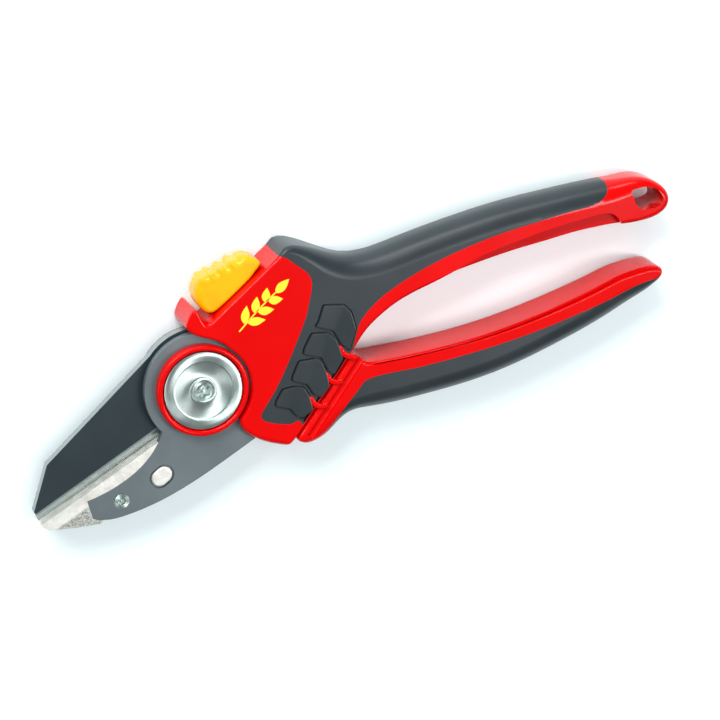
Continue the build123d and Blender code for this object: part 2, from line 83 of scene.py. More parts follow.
def roundCorners(points, radius, steps=4, closed=False):
    # replaces each corner of a line by a short curve
    out = [] if closed else [points[0]]
    n = len(points)
    for i in range(n) if closed else range(1, n - 1):
        a, b, c = Vector(points[i - 1]), Vector(points[i]), Vector(points[(i + 1) % n])
        reach = min(radius, (a - b).length * 0.45, (c - b).length * 0.45)
        p = b + (a - b).normalized() * reach
        q = b + (c - b).normalized() * reach
        for k in range(steps + 1):
            t = k / steps
            s = p.lerp(b, t).lerp(b.lerp(q, t), t)
            out.append((s[0], s[1]))
    if not closed:
        out.append(points[-1])
    return out


def arcLine(radius, first, last, steps):
    return [(radius * math.cos(math.radians(first + (last - first) * k / steps)),
             radius * math.sin(math.radians(first + (last - first) * k / steps))) for k in range(steps + 1)]


def withoutDoubles(points, least=0.12):
    out = []
    for p in points:
        if not out or (Vector(p) - Vector(out[-1])).length > least:
            out.append(p)
    while (Vector(out[0]) - Vector(out[-1])).length < least:
        out.pop()
    return out


def makeSlab(name, outline, low, high):
    # a flat blank cut to an outline in the plane, in millimetres, and drawn up to its thickness
    outline = withoutDoubles(outline)
    turn = sum(a[0] * b[1] - b[0] * a[1] for a, b in zip(outline, outline[1:] + outline[:1]))
    if turn < 0:
        outline = outline[::-1]
    deselectAll()
    bpy.ops.mesh.primitive_circle_add(vertices=len(outline), radius=0.01, fill_type="NGON")
    slab = bpy.context.object
    slab.name = slab.data.name = name
    for v, (x, y) in zip(slab.data.vertices, outline):
        v.co = (x * mm, y * mm, low * mm)
    bpy.ops.object.mode_set(mode="EDIT")
    bpy.ops.mesh.select_all(action="SELECT")
    bpy.ops.mesh.extrude_region_move(TRANSFORM_OT_translate={"value": (0, 0, (high - low) * mm)})
    bpy.ops.mesh.select_all(action="SELECT")
    bpy.ops.mesh.normals_make_consistent(inside=False)
    bpy.ops.object.mode_set(mode="OBJECT")
    return slab


def lineAt(points, x):
    # the number of the point whose X is nearest
    return min(range(len(points)), key=lambda i: abs(points[i][0] - x))


def applyAll(piece):
    pick(piece)
    for modifier in list(piece.modifiers):
        bpy.ops.object.modifier_apply(modifier=modifier.name)


def inwardWays(points, reach=2):
    # the way in from each point of a closed outline that turns left
    n = len(points)
    ways = []
    for i in range(n):
        along = (Vector(points[(i + reach) % n]) - Vector(points[i - reach])).normalized()
        ways.append(Vector((-along.y, along.x)))
    return ways


def evenOutline(stretches, step=0.9, blend=3.0):
    # joins stretches of (points, first rounding, last rounding) into one closed outline that turns left,
    # with a rounding at every point that changes slowly from one stretch to the next
    points, sizes = [], []
    for line, first, last in stretches:
        for k, p in enumerate(line):
            if points and (Vector(p) - Vector(points[-1])).length < 0.15:
                continue
            t = k / max(1, len(line) - 1)
            points.append(p)
            sizes.append([f + (l - f) * t for f, l in zip(first, last)])
    if (Vector(points[0]) - Vector(points[-1])).length < 0.15:
        points.pop()
        sizes.pop()
    turn = sum(a[0] * b[1] - b[0] * a[1] for a, b in zip(points, points[1:] + points[:1]))
    if turn < 0:
        points, sizes = points[::-1], sizes[::-1]
    # cut long runs so that the rounding can change along them
    dense, denseSizes = [], []
    for p, q, f, l in zip(points, points[1:] + points[:1], sizes, sizes[1:] + sizes[:1]):
        cuts = max(1, round((Vector(q) - Vector(p)).length / step))
        for k in range(cuts):
            t = k / cuts
            dense.append((p[0] + (q[0] - p[0]) * t, p[1] + (q[1] - p[1]) * t))
            denseSizes.append([a + (b - a) * t for a, b in zip(f, l)])
    n = len(dense)
    for _ in range(3):  # takes the point off the corners
        dense = [tuple((dense[i - 1][c] + 2 * dense[i][c] + dense[(i + 1) % n][c]) / 4 for c in (0, 1))
                 for i in range(n)]

    def average(values, reach):
        near = range(-reach, reach + 1)
        return [[sum(values[(i + k) % n][c] for k in near) / (2 * reach + 1) for c in (0, 1)]
                for i in range(n)]

    calm = average(denseSizes, round(blend / step))
    # no rounding is wider than its corner allows
    limits = []
    for i in range(n):
        a, b, c = Vector(dense[i - 2]), Vector(dense[i]), Vector(dense[(i + 2) % n])
        bend = (c - b).angle_signed(b - a)
        limits.append(0.8 * (c - a).length / 2 / bend if bend > 0.05 else 99)
    limits = [min(limits[(i + k) % n] for k in (-2, -1, 0, 1, 2)) for i in range(n)]
    calm = [[min(s[0], m), min(s[1], m * 1.3)] for s, m in zip(calm, limits)]
    return dense, average(calm, 2)


def drawUp(name, loops, ring=False):
    # a flat blank drawn up through a stack of closed loops; a ring is closed from its last loop to its first
    deselectAll()
    bpy.ops.mesh.primitive_circle_add(vertices=len(loops[0]), radius=0.01, fill_type="NGON")
    piece = bpy.context.object
    piece.name = piece.data.name = name
    for v, p in zip(piece.data.vertices, loops[0]):
        v.co = Vector(p) * mm
    bpy.ops.object.mode_set(mode="EDIT")
    bpy.ops.mesh.select_all(action="SELECT")
    for before, loop in zip(loops, loops[1:]):
        bpy.ops.mesh.extrude_region_move()
        mesh = bmesh.from_edit_mesh(piece.data)
        face = next(f for f in mesh.faces if f.select)
        verts = list(face.verts)
        start = min(range(len(verts)), key=lambda i: (verts[i].co - Vector(before[0]) * mm).length_squared)
        verts = verts[start:] + verts[:start]
        if (verts[1].co - Vector(before[1]) * mm).length > (verts[-1].co - Vector(before[1]) * mm).length:
            verts = [verts[0], *verts[:0:-1]]
        for v, p in zip(verts, loop):
            v.co = Vector(p) * mm
        bmesh.update_edit_mesh(piece.data)
    if ring:
        bpy.ops.mesh.select_all(action="DESELECT")
        mesh = bmesh.from_edit_mesh(piece.data)
        for face in mesh.faces:
            face.select = len(face.verts) > 4
        bmesh.update_edit_mesh(piece.data)
        bpy.ops.mesh.delete(type="ONLY_FACE")
        bpy.ops.mesh.select_all(action="DESELECT")
        bpy.ops.mesh.select_non_manifold()
        bpy.ops.mesh.bridge_edge_loops()
    bpy.ops.mesh.select_all(action="SELECT")
    bpy.ops.mesh.normals_make_consistent(inside=False)
    bpy.ops.object.mode_set(mode="OBJECT")
    return piece


def mould(name, stretches, low, high, steps=6, step=0.9):
    # a moulded body: an outline with its front and back rims rounded, each stretch by its own width and depth
    points, sizes = evenOutline(stretches, step)
    ways = inwardWays(points)
    turns = [pi / 2 * k / steps for k in range(steps + 1)]

    def level(turn, base, sign):
        return [(p[0] + w.x * s[0] * (1 - math.cos(turn)), p[1] + w.y * s[0] * (1 - math.cos(turn)),
                 base + sign * s[1] * (1 - math.sin(turn))) for p, w, s in zip(points, ways, sizes)]

    return drawUp(name, [level(t, low, 1) for t in turns[::-1]] + [level(t, high, -1) for t in turns])


def turned(name, profile, centre=(0, 0), sides=96, ring=False):
    # a turned part: circles of (radius, height) drawn up along the pivot's direction
    loops = [[(centre[0] + r * math.cos(2 * pi * k / sides), centre[1] + r * math.sin(2 * pi * k / sides), z)
              for k in range(sides)] for r, z in profile]
    return drawUp(name, loops, ring)


def twin(piece, name):
    other = piece.copy()
    other.data = piece.data.copy()
    other.name = other.data.name = name
    bpy.context.scene.collection.objects.link(other)
    return other


def softenAlong(piece, width, line, level, segments=4):
    # rounds the edges that follow a line at one level
    weights = piece.data.attributes.new("bevel_weight_edge", "FLOAT", "EDGE")
    for edge in piece.data.edges:
        ends = [piece.data.vertices[i].co / mm for i in edge.vertices]
        near = all(abs(p.z - level) < 0.02 and nearLine((p.x, p.y), line) < 0.05 for p in ends)
        weights.data[edge.index].value = 1 if near else 0
    softenCuts(piece, width, segments=segments, method="WEIGHT")
    piece.data.attributes.remove(piece.data.attributes["bevel_weight_edge"])


def softenCuts(piece, width, angle=50, segments=2, method="ANGLE"):
    # breaks the sharp edges that cutting left
    bevel = piece.modifiers.new("edges", "BEVEL")
    bevel.limit_method = method
    bevel.angle_limit = math.radians(angle)
    bevel.width = width * mm
    bevel.segments = segments
    bevel.use_clamp_overlap = True
    applyAll(piece)


def cutWith(piece, cutter, operation="DIFFERENCE"):
    boolean = piece.modifiers.new("cut", "BOOLEAN")
    boolean.operation = operation
    boolean.solver = "EXACT"
    boolean.object = cutter
    applyAll(piece)


def drop(piece):
    bpy.data.objects.remove(piece)


def joinPieces(main, *others):
    pick(main)
    for other in others:
        other.select_set(True)
    bpy.ops.object.join()
    return main


def nearLine(point, line):
    # distance from a point to a line of points
    p = Vector(point)
    best = 1e9
    for a, b in zip(line, line[1:]):
        a, b = Vector(a), Vector(b)
        along = b - a
        t = max(0, min(1, (p - a).dot(along) / max(along.length_squared, 1e-12)))
        best = min(best, (p - a - along * t).length)
    return best


def smoothShade(piece, angle=32):
    pick(piece)
    bpy.ops.object.shade_smooth_by_angle(angle=math.radians(angle))


def finishPiece(piece, material, body, slot, *nodes, angle=32):
    piece.data.materials.clear()
    piece.data.materials.append(material)
    smoothShade(piece, angle)
    even = piece.modifiers.new("normals", "WEIGHTED_NORMAL")
    even.keep_sharp = True
    applyAll(piece)
    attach(piece, body)
    if nodes:
        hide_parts(*nodes)


def softenedCopy(node, width, segments=2, angle=30):
    # a CAD piece with its sharp edges broken, as a deburred or moulded part has them
    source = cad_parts[node]
    copy = source.copy()
    copy.data = source.data.copy()
    copy.name = copy.data.name = node + "_finished"
    copy.parent = None
    for key in list(copy.keys()):
        if key.startswith("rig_"):
            del copy[key]
    bpy.context.scene.collection.objects.link(copy)
    pick(copy)
    bpy.ops.object.mode_set(mode="EDIT")
    bpy.ops.mesh.select_all(action="SELECT")
    bpy.ops.mesh.remove_doubles(threshold=1e-6)
    bpy.ops.mesh.dissolve_limited(angle_limit=math.radians(0.5))
    bpy.ops.object.mode_set(mode="OBJECT")
    bpy.ops.mesh.customdata_custom_splitnormals_clear()
    softenCuts(copy, width, angle, segments)
    return copy


# the camera looks from the front, leaning towards the upper handle and a little towards the blade

view = {"target": (45.2, -13.8, 14.5), "back": (-0.141, 0.364, 0.9205), "up": (0.4549, 0.8491, -0.2667),
        "width": 209.1, "lens": 180.0, "sensor": 36.0}
back = Vector(view["back"]).normalized()
up = Vector(view["up"])
up = (up - back * up.dot(back)).normalized()
right = up.cross(back)
cameraData = bpy.data.cameras.new("camera")
camera = bpy.data.objects.new("camera", cameraData)
bpy.context.scene.collection.objects.link(camera)
cameraData.lens = view["lens"]
cameraData.sensor_width = view["sensor"]
cameraData.clip_end = 10
cameraData.clip_start = 0.01
camera.rotation_euler = Matrix((right, up, back)).transposed().to_euler()
camera.location = Vector(view["target"]) * mm + back * view["width"] * mm * view["lens"] / view["sensor"]
bpy.context.scene.camera = camera


def colour(code):
    parts = [int(code[i:i + 2], 16) / 255 for i in (1, 3, 5)]
    return tuple(c / 12.92 if c <= 0.04045 else ((c + 0.055) / 1.055) ** 2.4 for c in parts) + (1.0,)


def addNode(tree, kind, links=(), **settings):
    # adds a node, sets its properties and sockets, and links its inputs
    node = tree.nodes.new(kind)
    for key, value in settings.items():
        if hasattr(node, key):
            setattr(node, key, value)
        else:
            node.inputs[key.replace("_", " ")].default_value = value
    for source, target in links:
        tree.links.new(source, node.inputs[target])
    return node


def newMaterial(name, base, roughness, metallic=0.0, ior=1.5):
    material = bpy.data.materials.new(name)
    material.use_nodes = True
    tree = material.node_tree
    shader = tree.nodes["Principled BSDF"]
    shader.inputs["Base Color"].default_value = colour(base)
    shader.inputs["Roughness"].default_value = roughness
    shader.inputs["Metallic"].default_value = metallic
    shader.inputs["IOR"].default_value = ior
    place = addNode(tree, "ShaderNodeTexCoord")
    return material, tree, shader, place.outputs["Object"]


def addGrain(tree, shader, place, grain, strength, depth=0.05, detail=3.0):
    # fine surface texture; grain and depth in millimetres
    noise = addNode(tree, "ShaderNodeTexNoise", [(place, "Vector")], Scale=1 / (grain * mm), Detail=detail)
    bump = addNode(tree, "ShaderNodeBump", [(noise.outputs["Fac"], "Height")], Strength=strength,
                   Distance=depth * mm)
    tree.links.new(bump.outputs["Normal"], shader.inputs["Normal"])
    return noise, bump


def addTint(tree, shader, place, light, dark, patch):
    # slow colour change over the surface; patch in millimetres
    noise = addNode(tree, "ShaderNodeTexNoise", [(place, "Vector")], Scale=1 / (patch * mm), Detail=2.0)
    ramp = addNode(tree, "ShaderNodeValToRGB", [(noise.outputs["Fac"], "Fac")])
    ramp.color_ramp.elements[0].position = 0.3
    ramp.color_ramp.elements[0].color = colour(dark)
    ramp.color_ramp.elements[1].position = 0.7
    ramp.color_ramp.elements[1].color = colour(light)
    tree.links.new(ramp.outputs["Color"], shader.inputs["Base Color"])
    return ramp


def addWear(tree, shader, place, low, high, patch):
    # roughness that changes slowly, as handling leaves it
    noise = addNode(tree, "ShaderNodeTexNoise", [(place, "Vector")], Scale=1 / (patch * mm), Detail=4.0)
    spread = addNode(tree, "ShaderNodeMapRange", [(noise.outputs["Fac"], "Value")], To_Min=low, To_Max=high)
    tree.links.new(spread.outputs["Result"], shader.inputs["Roughness"])


def makeRedNylon():
    # glass-filled nylon, injection moulded in a polished tool: saturated, with soft highlights
    material, tree, shader, place = newMaterial("redNylon", "#C40101", 0.18, ior=1.53)
    shader.inputs["Specular IOR Level"].default_value = 0.18
    addTint(tree, shader, place, "#CA0101", "#C00101", 25)
    addWear(tree, shader, place, 0.15, 0.22, 12)
    addGrain(tree, shader, place, 0.9, 0.12)
    shader.inputs["Subsurface Weight"].default_value = 0.04
    shader.inputs["Subsurface Radius"].default_value = (0.003, 0.0006, 0.0004)
    return material


def makeGripRubber():
    # thermoplastic elastomer, moulded with a spark-eroded texture: dull, slightly blue dark grey
    material, tree, shader, place = newMaterial("gripElastomer", "#262E32", 0.36, ior=1.5)
    shader.inputs["Specular IOR Level"].default_value = 0.4
    addTint(tree, shader, place, "#242C30", "#1D2529", 18)
    addWear(tree, shader, place, 0.32, 0.42, 9)
    addGrain(tree, shader, place, 0.5, 0.25)  # the real grain is about 0.1 mm, too fine to show
    shader.inputs["Sheen Weight"].default_value = 0.04
    return material


def makeCoatedSteel():
    # pressed steel plate with a baked grey coating: satin, evenly coloured
    material, tree, shader, place = newMaterial("coatedSteel", "#606A6E", 0.4, metallic=0.3)
    addTint(tree, shader, place, "#646E72", "#5A6468", 14)
    addWear(tree, shader, place, 0.34, 0.46, 8)
    addGrain(tree, shader, place, 0.35, 0.12)
    return material


def makeBladeSteel(edge):
    # hardened blade with a dark low-friction coating, ground bare along the cutting edge
    material, tree, shader, place = newMaterial("coatedBlade", "#33424A", 0.36, metallic=0.45)
    across = addNode(tree, "ShaderNodeVectorMath", [(place, 0)], operation="DOT_PRODUCT")
    across.inputs[1].default_value = (edge["out"][0], edge["out"][1], 0)
    ground = addNode(tree, "ShaderNodeMapRange", [(across.outputs["Value"], "Value")],
                     From_Min=(edge["drop"] - edge["bevel"] - 0.1) * mm,
                     From_Max=(edge["drop"] - edge["bevel"]) * mm)
    # grinding marks run square to the edge, about 0.15 mm apart
    turned = addNode(tree, "ShaderNodeMapping", [(place, "Vector")])
    turned.inputs["Rotation"].default_value = (0, 0, -edge["angle"])
    turned.inputs["Scale"].default_value = (1 / (0.25 * mm), 1 / (6 * mm), 1 / (6 * mm))
    marks = addNode(tree, "ShaderNodeTexNoise", [(turned.outputs["Vector"], "Vector")], Scale=1.0, Detail=2.0)
    bare = addNode(tree, "ShaderNodeBsdfPrincipled", Metallic=0.8, Roughness=0.42,
                   Base_Color=colour("#808A8A"))
    bump = addNode(tree, "ShaderNodeBump", [(marks.outputs["Fac"], "Height")], Strength=0.25,
                   Distance=0.03 * mm)
    tree.links.new(bump.outputs["Normal"], bare.inputs["Normal"])
    addTint(tree, shader, place, "#323E43", "#283338", 30)
    addWear(tree, shader, place, 0.3, 0.42, 10)
    addGrain(tree, shader, place, 0.4, 0.06)
    both = addNode(tree, "ShaderNodeMixShader", [(ground.outputs["Result"], 0), (shader.outputs["BSDF"], 1),
                                                 (bare.outputs["BSDF"], 2)])
    tree.links.new(both.outputs["Shader"], tree.nodes["Material Output"].inputs["Surface"])
    return material


def makeGroundSteel():
    # steel ground along its edge: pale, with fine lines through its thickness
    material, tree, shader, place = newMaterial("groundSteel", "#929A9A", 0.42, metallic=0.6)
    addWear(tree, shader, place, 0.3, 0.48, 3)
    addGrain(tree, shader, place, 0.3, 0.2)
    return material


def makeCastAlloy(name, edge):
    # die-cast light alloy: pale, with the mould's grit left on it
    material, tree, shader, place = newMaterial(name, "#E6E5DE", 0.42, metallic=0.6)
    addTint(tree, shader, place, "#F2F1EA", "#D2D2CA", 3)
    # beside the edge a band is planed smooth; past it the casting's skin is left, duller and grittier
    across = addNode(tree, "ShaderNodeVectorMath", [(place, 0)], operation="DOT_PRODUCT")
    across.inputs[1].default_value = (edge["out"][0], edge["out"][1], 0)
    skin = addNode(tree, "ShaderNodeMapRange", [(across.outputs["Value"], "Value")],
                   From_Min=(edge["drop"] + edge["band"]) * mm,
                   From_Max=(edge["drop"] + edge["band"] + 0.4) * mm)
    grit = addNode(tree, "ShaderNodeTexNoise", [(place, "Vector")], Scale=1 / (0.6 * mm), Detail=4.0)
    spread = addNode(tree, "ShaderNodeMapRange", [(grit.outputs["Fac"], "Value")], From_Min=0.3, From_Max=0.7)
    dull = addNode(tree, "ShaderNodeMix", [(spread.outputs["Result"], "Factor")], data_type="RGBA")
    dull.inputs[6].default_value = colour("#7C807C")
    dull.inputs[7].default_value = colour("#D6D6CE")
    bare = shader.inputs["Base Color"].links[0].from_socket
    whole = addNode(tree, "ShaderNodeMix",
                    [(skin.outputs["Result"], "Factor"), (bare, 6), (dull.outputs[2], 7)], data_type="RGBA")
    tree.links.new(whole.outputs[2], shader.inputs["Base Color"])
    addWear(tree, shader, place, 0.32, 0.55, 2)
    addGrain(tree, shader, place, 0.7, 0.45, depth=0.1, detail=5.0)
    return material


def makeZincSteel():
    # turned steel, bright zinc plated: faintly green, with the lathe's rings left on the faces
    material, tree, shader, place = newMaterial("zincPlatedSteel", "#D2DEDA", 0.4, metallic=1.0)
    shader.inputs["Anisotropic"].default_value = 0.88
    around = addNode(tree, "ShaderNodeTangent", direction_type="RADIAL", axis="Z")
    tree.links.new(around.outputs["Tangent"], shader.inputs["Tangent"])
    flat = addNode(tree, "ShaderNodeVectorMath", [(place, 0)], operation="MULTIPLY")
    flat.inputs[1].default_value = (1, 1, 0)
    radius = addNode(tree, "ShaderNodeVectorMath", [(flat.outputs["Vector"], 0)], operation="LENGTH")
    rings = addNode(tree, "ShaderNodeMath", [(radius.outputs["Value"], 0)], operation="MULTIPLY")
    rings.inputs[1].default_value = 2 * pi / (0.45 * mm)  # a tool mark every 0.45 mm, coarse enough to show
    waves = addNode(tree, "ShaderNodeMath", [(rings.outputs["Value"], 0)], operation="SINE")
    noise = addNode(tree, "ShaderNodeTexNoise", [(place, "Vector")], Scale=1 / (1.2 * mm), Detail=4.0)
    both = addNode(tree, "ShaderNodeMath", [(waves.outputs["Value"], 0), (noise.outputs["Fac"], 1)],
                   operation="MULTIPLY")
    bump = addNode(tree, "ShaderNodeBump", [(both.outputs["Value"], "Height")], Strength=0.12,
                   Distance=0.02 * mm)
    tree.links.new(bump.outputs["Normal"], shader.inputs["Normal"])
    addTint(tree, shader, place, "#DCE8E4", "#BECFC9", 5)
    addWear(tree, shader, place, 0.34, 0.46, 3)
    return material


def makeYellowAcetal():
    # acetal, moulded and glossy: light goes a little way in
    material, tree, shader, place = newMaterial("yellowAcetal", "#FFA200", 0.22, ior=1.48)
    shader.inputs["Specular IOR Level"].default_value = 0.35
    addTint(tree, shader, place, "#FFAA00", "#FC9C00", 10)
    addWear(tree, shader, place, 0.2, 0.3, 6)
    addGrain(tree, shader, place, 0.8, 0.08)
    shader.inputs["Subsurface Weight"].default_value = 0.12
    shader.inputs["Subsurface Radius"].default_value = (0.004, 0.002, 0.0004)
    return material


def makePrintInk():
    # pad-printed ink, a thin dull film
    material, tree, shader, place = newMaterial("padPrintInk", "#FFD21E", 0.45)
    addTint(tree, shader, place, "#FFD628", "#FBC916", 4)
    addGrain(tree, shader, place, 0.3, 0.1)
    return material


def makeHidden(name, base, roughness, metallic):
    material, tree, shader, place = newMaterial(name, base, roughness, metallic)
    addWear(tree, shader, place, roughness * 0.8, roughness * 1.3, 2)
    addGrain(tree, shader, place, 0.4, 0.15)
    return material


edgeLine = {"drop": 5.45, "bevel": 2.6, "band": 3.7, "angle": math.radians(8.9)}
edgeLine["out"] = (math.sin(edgeLine["angle"]), -math.cos(edgeLine["angle"]))
redNylon = makeRedNylon()
gripRubber = makeGripRubber()
coatedSteel = makeCoatedSteel()
bladeSteel = makeBladeSteel(edgeLine)
castAlloy = makeCastAlloy("castAlloy", edgeLine)
planedAlloy = makeCastAlloy("planedAlloy", {**edgeLine, "band": 60.0})  # the stud is planed all over
zincSteel = makeZincSteel()
yellowAcetal = makeYellowAcetal()
printInk = makePrintInk()
groundSteel = makeGroundSteel()
springSteel = makeHidden("oiledSpringSteel", "#5A5A58", 0.35, 1.0)
sinteredBronze = makeHidden("sinteredBronze", "#9A7440", 0.5, 1.0)
bearingPolymer = makeHidden("bearingPolymer", "#E4E4DE", 0.4, 0.0)
print("materials made")

# lines and levels that several pieces share, in millimetres
middle = 8.0  # the blade's middle plane, above the resting face
thick = {"low": 0.0, "high": 16.0, "slotLow": 3.45, "slotHigh": 12.55, "bladeLow": 6.4, "bladeHigh": 9.6}
past = {"low": -5.0, "high": 20.0}  # cutters reach this far, clear of the body
wrap = {"low": 2.0, "high": 14.0, "depth": 3.0}  # the frame's rib, which the overmould wraps round
thinner = {"from": 95, "run": 52, "share": 0.17}  # towards the tail
brokenEdge = 0.28  # left on moulded edges that were cut
seam = {"angle": math.radians(32.0), "reach": 31.9}
slide = {"angle": math.radians(18.4), "reach": 13.6}


def onSeam(along, outwards=0.0):
    a = seam["angle"]
    r = seam["reach"] + outwards
    return (math.sin(a) * r + math.cos(a) * along, -math.cos(a) * r + math.sin(a) * along)


def onSlide(along, above=0.0):
    a = slide["angle"]
    r = slide["reach"] + above
    return (-math.sin(a) * r + math.cos(a) * along, math.cos(a) * r + math.sin(a) * along)


upper = {
    "nose": [(3.3, 17.9), (2.9, 20.0), (5.2, 22.4), (7.9, 24.1), onSlide(13.6), onSlide(42.6)],
    "shoulder": [onSlide(42.6), (37.8, 27.5), (39.4, 27.8)],
    "outer": [(39.4, 27.8), (41.4, 26.9), (44.4, 24.6), (47.4, 21.8), (51.2, 18.2), (54.6, 15.7),
              (58.4, 14.1), (64.0, 12.9), (81.4, 11.0), (101.4, 7.9), (121.4, 3.2), (132.0, 0.3)],
    "tail": [(132.0, 0.3), (136.6, -1.4), (141.4, -2.9), (144.8, -4.6), (147.6, -7.4), (149.4, -10.8),
             (149.3, -14.0), (147.4, -16.0), (144.5, -16.7), (141.0, -16.4), (137.0, -15.3),
             (133.0, -13.8), (130.0, -12.7)],
    "inner": [(130.0, -12.7), (120.0, -9.9), (110.0, -7.9), (100.0, -5.9), (90.0, -4.4), (80.0, -3.2),
              (70.0, -2.5), (62.0, -2.8), (55.0, -4.3), (50.0, -6.2), onSeam(32.6, -0.2)],
    "lobe": [onSeam(-1.0, -0.2), (12.6, -25.0), (9.8, -22.5), (7.0, -19.0), (5.4, -15.6), (6.1, -12.9)],
    "ring": 14.3,
    # where the overmould meets the frame: down the housing, round the lobe, then along the seam to the tail
    "parting": [(35.9, 26.4), (37.2, 25.4), (39.6, 21.4), (41.5, 17.6), (41.2, 14.2), (38.0, 9.3),
                (35.0, 5.4), (27.0, -2.4), (20.0, -8.6), (13.2, -13.4), (11.8, -14.8), (12.2, -16.4),
                (14.2, -18.3), (17.0, -20.1), (19.2, -21.2), (20.4, -21.0), (21.4, -21.3)],
    "rim": 0.7,
    "strip": [(47.0, -5.6), (50.0, -2.5), (54.6, -0.2), (60.0, 1.4), (70.0, 2.7), (82.0, 2.9),
              (93.4, 2.1), (101.0, 1.1), (109.0, -0.4), (119.4, -2.4), (126.0, -3.9), (129.8, -3.9),
              (132.5, -2.7), (133.6, -0.5), (133.0, 2.5)],
    # the step along the finger side, where the front face stands back from the widest part
    "step": [(62.0, -2.6), (68.0, -2.5), (74.2, -2.4), (80.4, -2.2), (87.8, -1.9), (95.0, -2.1),
             (102.4, -2.9), (112.9, -4.4), (123.2, -6.4), (128.3, -7.6), (131.0, -9.0), (132.2, -11.0),
             (132.8, -14.0)],
    "stepDepth": 3.2,
    "hole": [(139.0, -5.4), (143.6, -6.5), (146.6, -8.6), (147.5, -11.4), (146.8, -13.6), (144.6, -14.0),
             (139.9, -12.6), (138.9, -10.4)],
    "tang": [(17.7, -2.0), (44.0, -10.5), (60.0, -60.0), (-30.0, -60.0), (-30.0, 30.0), (3.0, 17.0)],
    "hub": 18.3,
}

seamLine = [onSeam(k, -0.2) for k in (31.0, 24.0, 16.0, 8.0, 0.6)]
noseLine = roundCorners(upper["nose"], 1.4)
shoulderLine = roundCorners(upper["shoulder"], 1.0)
outerLine = smoothLine(upper["outer"])
tailLine = smoothLine(upper["tail"], 0.9)
innerLine = smoothLine(upper["inner"], 1.4)
lobeLine = smoothLine(upper["lobe"], 0.9)
ringLine = arcLine(upper["ring"], -64, 30, 40)
neckLine = smoothLine([ringLine[-1], (10.9, 10.2), (8.9, 12.6), (6.0, 15.0), upper["nose"][0]], 0.9)
turnOn = lineAt(outerLine, 52)
upperStretches = [
    (noseLine, (1.0, 1.0), (1.0, 1.0)), (shoulderLine, (1.0, 1.2), (1.6, 2.0)),
    (outerLine[:turnOn], (1.6, 2.0), (6.4, 6.8)), (outerLine[turnOn:], (6.4, 6.8), (6.4, 7.2)),
    (tailLine[:9], (6.4, 7.2), (5.0, 5.0)), (tailLine[9:20], (5.0, 5.0), (2.2, 3.0)),
    (tailLine[20:], (2.2, 3.0), (1.2, 1.4)), (innerLine[:-3], (1.4, 1.6), (1.0, 1.0)),
    (seamLine, (0.5, 0.5), (0.5, 0.5)), (lobeLine, (2.0, 2.4), (1.0, 1.0)),
    (ringLine, (0.8, 0.8), (0.8, 0.8)), (neckLine, (0.9, 0.9), (0.9, 0.9)),
]
partingLine = smoothLine(upper["parting"], 0.9)
rimLine = [onSeam(6.4 + 1.3 * k, -upper["rim"]) for k in range(20)]
stripLine = smoothLine(upper["strip"], 1.1)
joinLine = smoothLine([rimLine[-1], (44.6, -8.9), upper["strip"][0]], 0.8)
gripEdge = partingLine + rimLine + joinLine[1:-1] + stripLine


def taper(piece):
    # the handles are thinner towards the tail
    for v in piece.data.vertices:
        t = max(0, min(1, (v.co.x / mm - thinner["from"]) / thinner["run"]))
        v.co.z = (middle + (v.co.z / mm - middle) * (1 - thinner["share"] * t * t)) * mm


def cutSlab(piece, outline, low, high):
    cutter = makeSlab("cutter", outline, low, high)
    cutWith(piece, cutter)
    drop(cutter)


upperBlank = mould("upper_blank", upperStretches, thick["low"], thick["high"])
stepLine = smoothLine(upper["step"], 1.0)
stepLevel = thick["high"] - upper["stepDepth"]
cutSlab(upperBlank, stepLine + [(132.8, -30.0), (62.0, -30.0)], stepLevel, past["high"])
cutSlab(upperBlank, roundCorners(upper["hole"], 1.2, closed=True), past["low"], past["high"])
taper(upperBlank)

# overmould: all that lies outside the parting line, less the frame's rib inside it
gripShell = twin(upperBlank, "upper_grip_overmould")
region = makeSlab("region", gripEdge + [(133.0, 40.0), (35.9, 40.0)], past["low"], past["high"] + 1)
rib = [(x, y - wrap["depth"]) for x, y in upper["outer"]]
coreOutline = [(30.0, 24.0), *rib, (131.0, -40.0), (0.0, -40.0), (0.0, 24.0)]
core = makeSlab("core", coreOutline, wrap["low"], wrap["high"])
cutWith(region, core)
cutWith(gripShell, region, "INTERSECT")
frameShell = upperBlank
frameShell.name = frameShell.data.name = "upper_handle_shell"
cutWith(frameShell, region)
drop(region)
drop(core)
slotOutlines = [arcLine(upper["hub"], 0, 355, 71), [(0, 0), *upper["tang"]],
                [(0, 0), onSlide(12.0, -6.4), onSlide(38.2, -6.4), (35.2, -0.8), (8.0, -14.2)]]
for outline in slotOutlines:
    cutSlab(frameShell, outline, thick["slotLow"], thick["slotHigh"])
    cutSlab(gripShell, outline, thick["slotLow"], thick["slotHigh"])
groove = {"start": 7.4, "end": 30.6, "inner": -1.5, "outer": -0.75, "floor": 13.4}  # the dark gap at the seam
seamGroove = [onSeam(groove["start"], groove["inner"]), onSeam(groove["end"], groove["inner"]),
              onSeam(groove["end"], groove["outer"]), onSeam(groove["start"], groove["outer"])]
cutSlab(gripShell, seamGroove, groove["floor"], past["high"])
# channels for the slider's foot and the tongue: start, end, lowest, highest, half width
lock = {"foot": (19.7, 34.3, -5.3, 6.0, 3.3), "tongue": (11.1, 37.7, -6.4, -0.7, 1.5)}
for start, end, low, high, half in lock.values():
    block = [onSlide(start, low), onSlide(end, low), onSlide(end, high), onSlide(start, high)]
    cutSlab(frameShell, block, middle - half, middle + half)
lobeBead = {"width": 1.2, "fromX": 13.2}
beadLine = partingLine[lineAt(partingLine[:60], lobeBead["fromX"]):]
softenAlong(frameShell, lobeBead["width"], beadLine, thick["high"])

